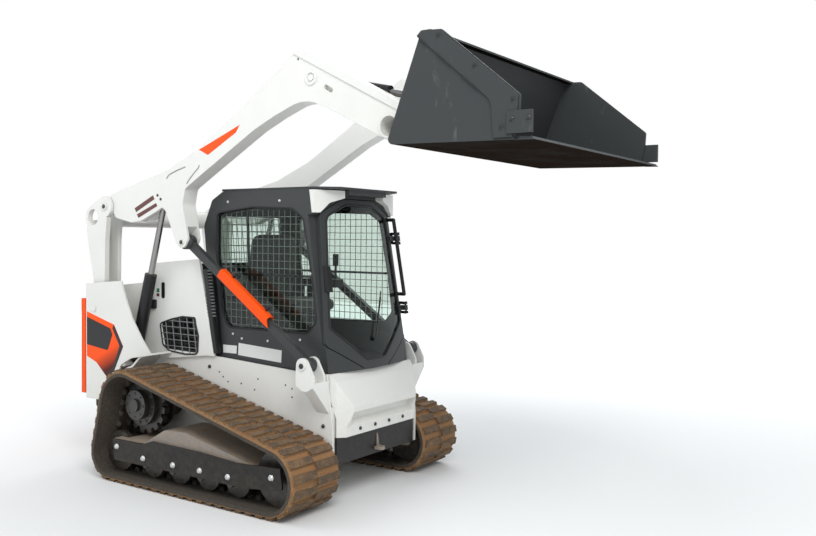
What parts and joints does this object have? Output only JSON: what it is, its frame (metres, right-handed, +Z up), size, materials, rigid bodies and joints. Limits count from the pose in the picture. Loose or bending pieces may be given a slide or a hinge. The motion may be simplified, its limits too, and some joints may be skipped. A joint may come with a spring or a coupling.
{
  "type": "compact track loader",
  "caption": "Compact track loader with a glazed cab, rubber tracks, raised vertical-lift arms on linked pivots, a tilting bucket and a swinging tailgate.",
  "frame": {"origin": "On the ground under the middle of the overall length, on the middle plane between the tracks.", "axes": "+X points forward to the bucket, +Y to the machine's left, +Z up."},
  "size_m": [3.925, 1.88, 2.8997],
  "materials": {
    "black_plastic": "matt black plastic",
    "black_steel": "satin black paint",
    "charcoal_paint": "satin charcoal paint",
    "chrome_rod": "hard chrome",
    "orange_paint": "satin orange paint",
    "red_lens": "gloss red lens",
    "seat_vinyl": "black vinyl",
    "track_rubber": "dusty black rubber",
    "white_paint": "satin warm white paint",
    "window_glass": "clear glass with a green tint",
    "wire_mesh": "black painted wire",
    "worn_steel": "worn dusty steel"
  },
  "bodies": {
    "chassis": {"armrests": "black_plastic", "cab_roof": "charcoal_paint", "cab_shell": "charcoal_paint", "door_hinges": "black_steel", "drive_hubs": "black_steel", "drive_motors": "black_steel", "engine_block": "worn_steel", "engine_hood": "charcoal_paint", "front_guard": "black_steel", "front_idlers": "black_steel", "front_step": "white_paint", "lamp_housings": "white_paint", "levers": "black_plastic", "link_brackets": "white_paint", "main_frame": "white_paint", "rear_bumper": "black_steel", "rear_idlers": "black_steel", "rear_window": "window_glass", "ribbed_strips": "black_plastic", "rollers": "black_steel", "seat": "seat_vinyl", "seat_base": "black_plastic", "side_grilles": "black_plastic", "side_screens": "wire_mesh", "side_windows": "window_glass", "sprockets": "worn_steel", "tow_eye": "worn_steel", "tower_left": "white_paint", "tower_right": "white_paint", "track_frames": "worn_steel", "track_guards": "black_steel", "track_left": "track_rubber", "track_right": "track_rubber"},
    "control_links": {"control_links": "charcoal_paint", "arm_stop": "orange_paint"},
    "boom": {"lift_arm_right": "white_paint", "lift_arm_left": "white_paint", "arm_cross_tube": "white_paint"},
    "rear_links": {"rear_links": "white_paint"},
    "lift_barrels": {"lift_barrels": "black_steel"},
    "lift_rods": {"lift_rods": "chrome_rod"},
    "bucket": {"bucket_shell": "charcoal_paint", "cutting_edge": "worn_steel", "coupler": "charcoal_paint", "bucket_cheeks": "charcoal_paint"},
    "tilt_barrels": {"tilt_barrels": "black_steel"},
    "tilt_rods": {"tilt_rods": "chrome_rod"},
    "cab_door": {"door_frame": "charcoal_paint", "door_glass": "window_glass", "door_handle": "black_plastic", "grab_bar": "black_steel", "wiper": "black_plastic"},
    "tailgate": {"tailgate": "orange_paint", "tailgate_grille": "black_plastic", "tail_lamps": "red_lens"}
  },
  "joints": [
    {"name": "lift", "type": "hinge", "parent": "chassis", "child": "control_links", "pos_m": [0.2175, 0, 0.917], "axis": [0, -1, 0], "range_deg": [-9.45, 26.68]},
    {"name": "arm_swing", "type": "hinge", "parent": "control_links", "child": "boom", "pos_m": [-0.8985, 0, 1.691], "axis": [0, -1, 0], "range_deg": [-73, 26]},
    {"name": "rear_link_swing", "type": "hinge", "parent": "boom", "child": "rear_links", "pos_m": [-1.7295, 0, 1.951], "axis": [0, -1, 0], "range_deg": [-13.2, 37]},
    {"name": "lift_barrel_swing", "type": "hinge", "parent": "chassis", "child": "lift_barrels", "pos_m": [-1.4865, 0, 0.788], "axis": [0, -1, 0], "range_deg": [-7, 3]},
    {"name": "lift_rod_slide", "type": "slide", "parent": "lift_barrels", "child": "lift_rods", "axis": [0.2736, 0, 0.9619], "range_m": [-0.4, 0.145]},
    {"name": "tilt", "type": "hinge", "parent": "boom", "child": "bucket", "pos_m": [1.0085, 0, 2.366], "axis": [0, -1, 0], "range_deg": [-57, 72]},
    {"name": "tilt_barrel_swing", "type": "hinge", "parent": "boom", "child": "tilt_barrels", "pos_m": [0.2795, 0, 2.726], "axis": [0, -1, 0], "range_deg": [-4.5, 3.5]},
    {"name": "tilt_rod_slide", "type": "slide", "parent": "tilt_barrels", "child": "tilt_rods", "axis": [0.9768, 0, -0.2142], "range_m": [-0.2, 0.16]},
    {"name": "door_swing", "type": "hinge", "parent": "chassis", "child": "cab_door", "pos_m": [0.22023, 0.462, 1.479], "axis": [-0.1493, 0, 0.9888], "range_deg": [0, 65]},
    {"name": "tailgate_swing", "type": "hinge", "parent": "chassis", "child": "tailgate", "pos_m": [-1.9385, 0.704, 0.89], "axis": [0, 0, -1], "range_deg": [0, 100]}
  ],
  "couplings": [
    {"joint": "arm_swing", "follows": "lift", "ratio": -2.7227},
    {"joint": "rear_link_swing", "follows": "lift", "ratio": 1.3824},
    {"joint": "lift_barrel_swing", "follows": "lift", "ratio": -0.2438},
    {"joint": "lift_rod_slide", "follows": "lift", "m_per_rad": -0.845},
    {"joint": "tilt_barrel_swing", "follows": "tilt", "ratio": -0.055},
    {"joint": "tilt_rod_slide", "follows": "tilt", "m_per_rad": -0.15699}
  ]
}
